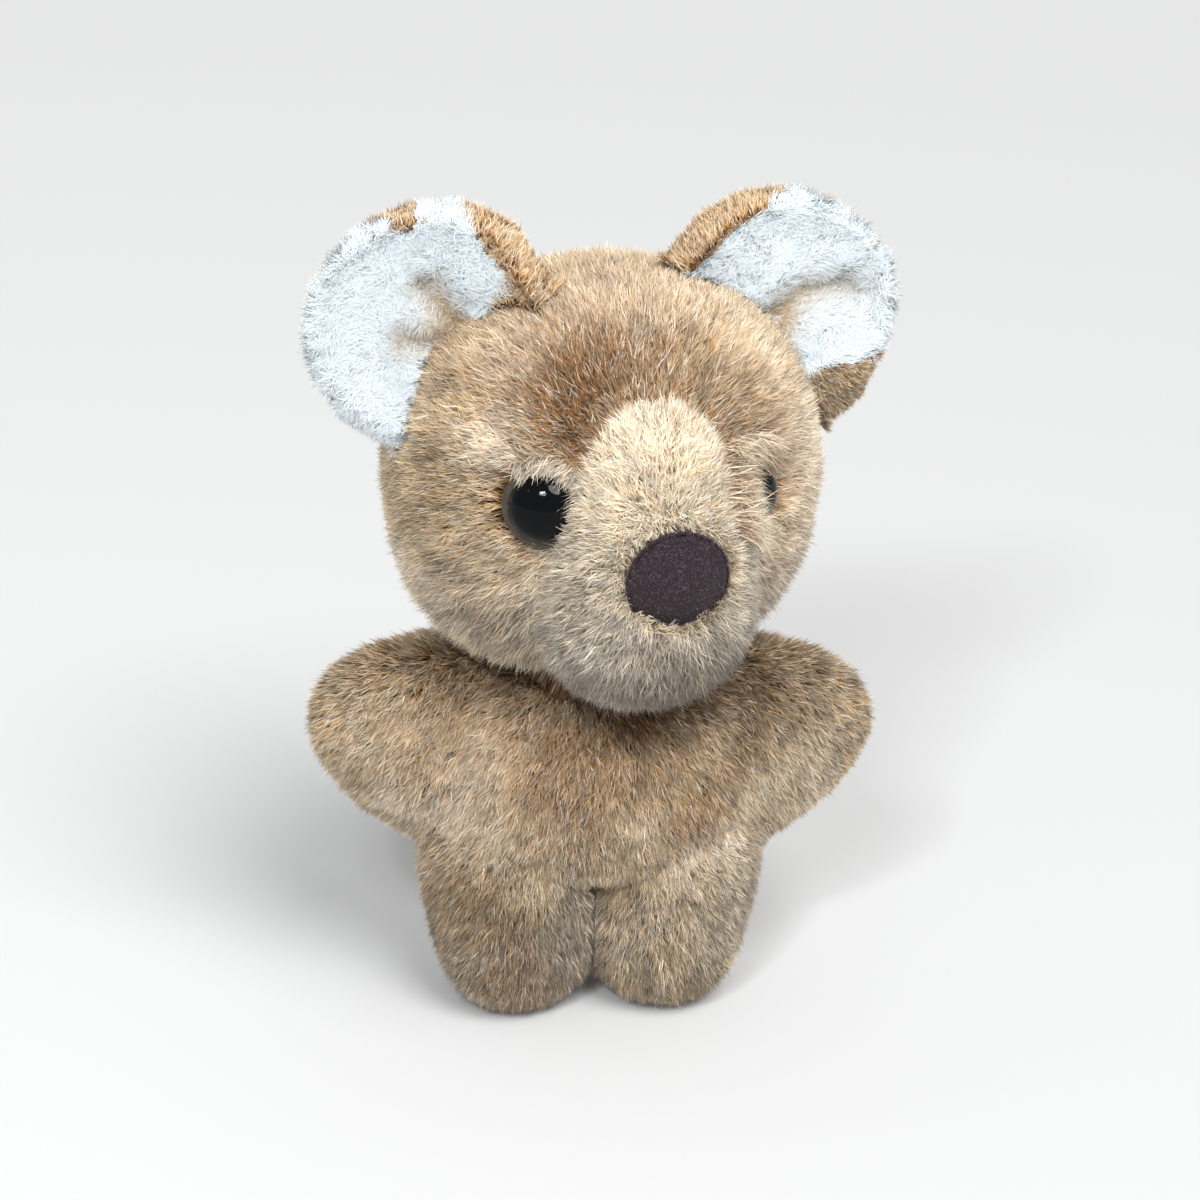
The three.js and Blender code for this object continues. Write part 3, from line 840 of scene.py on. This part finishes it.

# The pile is parted and brown in places, and lies flat and silvery in others. Under the head the
# chest is painted dark: painted shadow.
cloud = ripple(points, 20 * MM, 11)[:, 0] + 0.5 * ripple(points, 8 * MM, 12)[:, 0]
front = points[:, 1] < 0
place = points[:, ::2] / MM
# Painted shadow under the chin and beside the neck.
shadow_under_head = spot(place, (12, 78), (18, 6)) + 0.7 * spot(place, (-15, 85), (15, 4))
shadow_under_head = np.clip(shadow_under_head, 0, 1) * (points[:, 1] < 10 * MM)
brown = 0.6 * spot(place, (18, 50), (9, 9)) + 0.3 * spot(place, (-10, 66), (30, 14))
# The brown spot low on the right leg is painted shade.
brown += 0.5 * spot(place, (-22, 14), (12, 14))
silver = 0.5 * spot(place, (-4, 22), (9, 14)) + 0.4 * spot(place, (30, 30), (9, 18))
silver += 0.4 * spot(place, (-44, 52), (12, 8)) + 0.3 * spot(place, (48, 56), (10, 12))
patch = np.clip(0.9 * shadow_under_head + (brown + 0.5 * np.clip(-cloud, 0, 1)) * front, 0, 0.95)
silver = np.clip((silver + 0.35 * np.clip(cloud, 0, 1)) * front, 0, 0.8)
wisps = ripple(points, 5 * MM, 16)[:, 0]
# Painted shade: the pile is darker under the head and towards the bottom of the legs.
shade = 0.2 * cloud + 0.26 * wisps - 0.5 * shadow_under_head - 0.24 * np.clip(1 - place[:, 1] / 50, 0, 1)
# Painted light makes the chest lighter; painted shade makes the right leg darker low down.
shade += (0.3 * spot(place, (-4, 68), (30, 11)) - 0.12 * spot(place, (-22, 14), (14, 16))) * front
shade -= 0.1
values = {"patch": patch, "brow": silver, "shade": shade, "lift": 8 * patch}

ROOM = {
    "leg_left_pile": (np.array([0.4 * MM, -1, 0.2 * MM]), ANYWHERE[1]),
    "leg_right_pile": (ANYWHERE[0], np.array([0.2 * MM, 1, 1])),
}
parts = [(node.replace("_cover", "_pile"), owner == index) for index, node in enumerate(TORSO_NODES)]
chest = points[:, 1] < 7 * MM
parts[:1] = [("chest_pile", (owner == 0) & chest), ("back_pile", (owner == 0) & ~chest)]
for name, mine in parts:
    sown, way = pick(mine, points, normals), naps[mine]
    told = {key: value[mine] for key, value in values.items()}
    plant(
        name, "torso", "tan_pile", sown, way, BODY_NAP, TAN_PILE, ROOM.get(name, ANYWHERE), **told
    )

points, normals = scatter(neck_skin, 1.6, rng)
sown = pick(np.abs(points[:, 2] - NECK[2]) < 11 * MM, points, normals)
# The neck pile is painted dark: painted shade between the head and the body.
dark = np.full(len(sown[0]), 0.8)
naps = ripple(sown[0], 10 * MM, 2) - UP
plant("neck_pile", "neck", "tan_pile", sown, naps, NECK_NAP, TAN_PILE, patch=dark, shade=-0.3 * dark)


# Pile of the head


def round_axis(points, at, axis):
    """How far points lie from an axis, in millimetres, and the way from each towards it."""
    apart = points - at
    flat = apart - (apart @ axis)[:, None] * axis
    away = np.linalg.norm(flat, axis=1)
    return away / MM, -flat / away[:, None], apart @ axis > -7 * MM


points, normals = scatter(head_skin, 2.9, rng)
low =(np.linalg.norm((points - NECK)[:, :2], axis=1) < 19 * MM) & (points[:, 2] < 97 * MM)
points, normals = pick(~low, points, normals)
clear = np.ones(len(points), bool)
for (at, axis, radius), share in [(eyes["left"], 0.97), (eyes["right"], 0.97), (NOSE, 0.9)]:
    away, inwards, outside = round_axis(points, at, axis)
    clear &= ~((away < radius / MM * share) & outside)
points, normals = pick(clear, points, normals)
place = on_head(points)

# The two fabrics are mingled where the muzzle runs out into the jowls.
mingled = 3.5 * MM * np.clip(-(place[:, 2] + 2) / 10, 0, 1) * rng.normal(0, 1, len(points))
on_muzzle = nearness(points, "muzzle_cover") < nearness(points, "head_cover") + mingled

# The nap springs from the nose: over the forehead to the nape, over the cheeks, down the chin.
naps = unit(points - NOSE[0]) - 0.3 * UP + 0.3 * ripple(points, 14 * MM, 5)
naps += 0.5 * ripple(points, 5 * MM, 7) * on_muzzle[:, None]

front = place[:, 1] > 0
crown = place[:, ::2] + 3 * ripple(points, 8 * MM, 6)[:, :2]
cloud = ripple(points, 18 * MM, 13)[:, 0] + 0.5 * ripple(points, 7 * MM, 14)[:, 0]
patch = 0.85 * spot(crown, (-8, 29), (15, 8)) + 0.75 * spot(crown, (-17, 22), (9, 6))
patch += 0.5 * spot(crown, (-14, 14), (3, 8))
# Painted shade: the hollow beside the left eye is painted brown.
patch += 0.8 * spot(place, (21, 33, 12), (6, 8, 7))
patch += 0.4 * np.clip(-cloud, 0, 1)
patch = np.clip(patch * front * ~on_muzzle, 0, 0.95)
# The underside of the chin is painted darker and browner: painted shade.
chin_shade = spot(place[:, ::2], (6, -30), (24, 14)) * front
# The pale spot high on the forehead, at (-4, 14, 42), is painted light.
brow = 0.45 * spot(place, (-27, 29, 14), (9, 9, 3)) + 0.2 * spot(place, (-4, 14, 42), (26, 16, 9))
# The pale spot on the left cheek, at (34, 20, 0), is painted light.
brow += 0.4 * spot(place, (34, 20, 0), (9, 20, 26)) + 0.35 * np.clip(cloud, 0, 1)
brow += 0.3 * np.clip(-(place[:, 2] + 4) / 12, 0, 1)
brow = np.clip(brow * (1 - 0.8 * chin_shade), 0, 0.85)
wisps = ripple(points, 5 * MM, 17)[:, 0]
# Painted light makes the head lighter towards the top.
shade = 0.2 * cloud + 0.28 * wisps + 0.22 * np.clip(place[:, 2] / 40, 0, 1) - 0.75 * chin_shade
shade -= 0.18 * patch
# Painted light on the left cheek.
shade += 0.15 * spot(place, (36, 20, 0), (12, 20, 20))
# Painted shade makes the muzzle darker below its top.
shade += 0.14 * on_muzzle * np.clip((place[:, 2] - 8) / 10, -1, 0)
jowl = np.clip(-(place[:, 2] + 8) / 22, 0, 1) * (1 - chin_shade)
values = {"patch": np.clip(patch + 0.7 * chin_shade, 0, 0.95), "brow": brow, "shade": shade}
values.update({"lift": 9 * patch + 14 * jowl, "reach": 1 + 0.45 * jowl})

quarters = {"muzzle_pile": on_muzzle}
for end, ahead in (("face", front), ("nape", ~front)):
    for side, mine in (("left", place[:, 0] >= 0), ("right", place[:, 0] < 0)):
        quarters[f"{end}_{side}_pile"] = ahead & mine & (place[:, 2] < 8) & ~on_muzzle
        quarters[f"{end}_{side}_upper_pile"] = ahead & mine & (place[:, 2] >= 8) & ~on_muzzle
for name, mine in quarters.items():
    sown = pick(mine, points, normals)
    told = {key: value[mine] for key, value in values.items()}
    cover = ("tan_pile", FACE_NAP, TAN_PILE)
    if name == "muzzle_pile":
        cover = ("cream_pile", MUZZLE_NAP, CREAM_PILE)
    plant(name, "head", cover[0], sown, naps[mine], *cover[1:], **told)

# Longer hair hangs over the eyes, and the pile laps over the edge of the nose.
points, normals = scatter(head_skin, 3.0, rng)
away, inwards, outside = round_axis(points, NOSE[0], NOSE[1])
mine = (away > 9.6) & (away < 12) & outside
sown = pick(mine, points, normals)
way = inwards[mine] + 0.6 * ripple(sown[0], 5 * MM, 15)
plant("nose_edge_pile", "head", "cream_pile", sown, way, NOSE_EDGE, CREAM_PILE)
for side, across in (("left", -HEAD_ACROSS), ("right", HEAD_ACROSS)):
    inner = unit(across + 0.9 * UP)
    away, inwards, outside = round_axis(points, eyes[side][0], eyes[side][1])
    mine = (away > 7.8) & (away < 10.5) & outside & (-(inwards @ inner) > 0.2)
    sown = pick(mine, points, normals)
    way = inwards[mine] - 0.4 * across - 0.3 * UP
    pale = np.full(len(sown[0]), 0.55)
    plant(f"brow_{side}_pile", "head", "tan_pile", sown, way, BROW, TAN_PILE, brow=pale)

# The far eye lies in a hollow. Long pile falls over it from the side of the muzzle, and shorter
# pile closes in from the cheek. Its roots in the hollow are painted dark brown: painted shade.
points, normals = scatter(head_skin, 7.0, rng)
away, inwards, outside = round_axis(points, eyes["left"][0], eyes["left"][1])
inner = np.clip(0.6 - (inwards @ unit(0.6 * UP - 0.8 * HEAD_ACROSS)) / 0.6, 0, 1)
mine = (away > 7.4) & (away < 8.4 + 2.6 * inner) & outside
sown, inner = pick(mine, points, normals), inner[mine]
naps = inner[:, None] * (0.8 * HEAD_ACROSS - 0.6 * UP) + (1 - 0.7 * inner)[:, None] * inwards[mine]
naps += 0.5 * ripple(sown[0], 4 * MM, 18)
# Painted shade in the hollow.
brown = 0.9 * spot(on_head(sown[0]), (19, 34, 11), (7, 12, 4.5))
plant(
    "hollow_pile", "head", "tan_pile", sown, naps, HOLLOW, TAN_PILE,
    patch=brown, shade=0.2 - 0.5 * brown, brow=0.4 * (1 - brown), reach=0.42 + 0.5 * inner,
)

points, normals = scatter(nose, 5.0, rng)
mine = normals @ NOSE[1] > 0.1
sown = pick(mine, points, normals)
plant("nose_fuzz", "head", "nose_felt", sown, rng.normal(0, 1, sown[0].shape), FUZZ, NOSE_FUZZ)


# Stage


def pale_only_to_the_eye(name, colour, strength):
    """A pale surface that takes shadows, and that shows plain in gloss and through clear parts."""
    material, tree = start_material(name)
    shade = add(tree, "ShaderNodeBsdfDiffuse", {"Color": linear(colour)})
    path = add(tree, "ShaderNodeLightPath")
    seen = add(
        tree,
        "ShaderNodeMath",
        {0: path.outputs["Is Glossy Ray"], 1: path.outputs["Is Transmission Ray"]},
        operation="MAXIMUM",
    )
    plain = add(tree, "ShaderNodeEmission", {"Color": linear(colour), "Strength": strength})
    mixed = add(tree, "ShaderNodeMixShader", {0: seen.outputs[0], 1: shade.outputs[0], 2: plain.outputs[0]})
    end_material(tree, mixed.outputs[0])
    return material


ground = bpy.data.meshes.new("floor")
ground.from_pydata([(-4, -4, 0), (4, -4, 0), (4, 4, 0), (-4, 4, 0)], [], [(0, 1, 2, 3)])
floor = new_object("floor", ground, pale_only_to_the_eye("painted_board", "#e3e3e3", 0.9))

world = bpy.data.worlds.new("studio")
world.use_nodes = True
world.node_tree.nodes.clear()
sky_path = add(world.node_tree, "ShaderNodeLightPath")
room = add(world.node_tree, "ShaderNodeBackground", {"Color": linear("#ffffff"), "Strength": 0.42})
plain = add(world.node_tree, "ShaderNodeBackground", {"Color": linear("#f1f1f1"), "Strength": 1.0})
shown = add(
    world.node_tree,
    "ShaderNodeMixShader",
    {0: sky_path.outputs["Is Camera Ray"], 1: room.outputs[0], 2: plain.outputs[0]},
)
add(world.node_tree, "ShaderNodeOutputWorld", {"Surface": shown.outputs[0]})
bpy.context.scene.world = world

sun = bpy.data.lights.new("key", "SUN")
sun.energy = 2.1
sun.angle = math.radians(32)
key = bpy.data.objects.new("key", sun)
key.rotation_euler = Vector((-0.27, 0.5, -0.82)).to_track_quat("-Z", "Y").to_euler()
bpy.context.collection.objects.link(key)


def hang_lamp(name, toward, far, width, height, energy):
    """A flat lamp that faces the near eye, in which it shows as a highlight."""
    light = bpy.data.lights.new(name, "AREA")
    light.shape = "RECTANGLE"
    light.size, light.size_y = width, height
    light.energy = energy
    light.color = (0.95, 0.98, 1.0)
    lamp = bpy.data.objects.new(name, light)
    lamp.location = Vector(EYE_SEEN) + Vector(toward).normalized() * far
    lamp.rotation_euler = (Vector(EYE_SEEN) - lamp.location).to_track_quat("-Z", "Y").to_euler()
    bpy.context.collection.objects.link(lamp)


hang_lamp("softbox", (-0.29, -0.68, 0.6), 2.4, 0.6, 0.4, 13.0)
hang_lamp("glint_left", (-0.33, -0.68, 0.67), 0.6, 0.05, 0.045, 0.75)
hang_lamp("glint_right", (-0.23, -0.68, 0.7), 0.6, 0.04, 0.045, 0.35)

bpy.context.scene.view_settings.view_transform = "Standard"
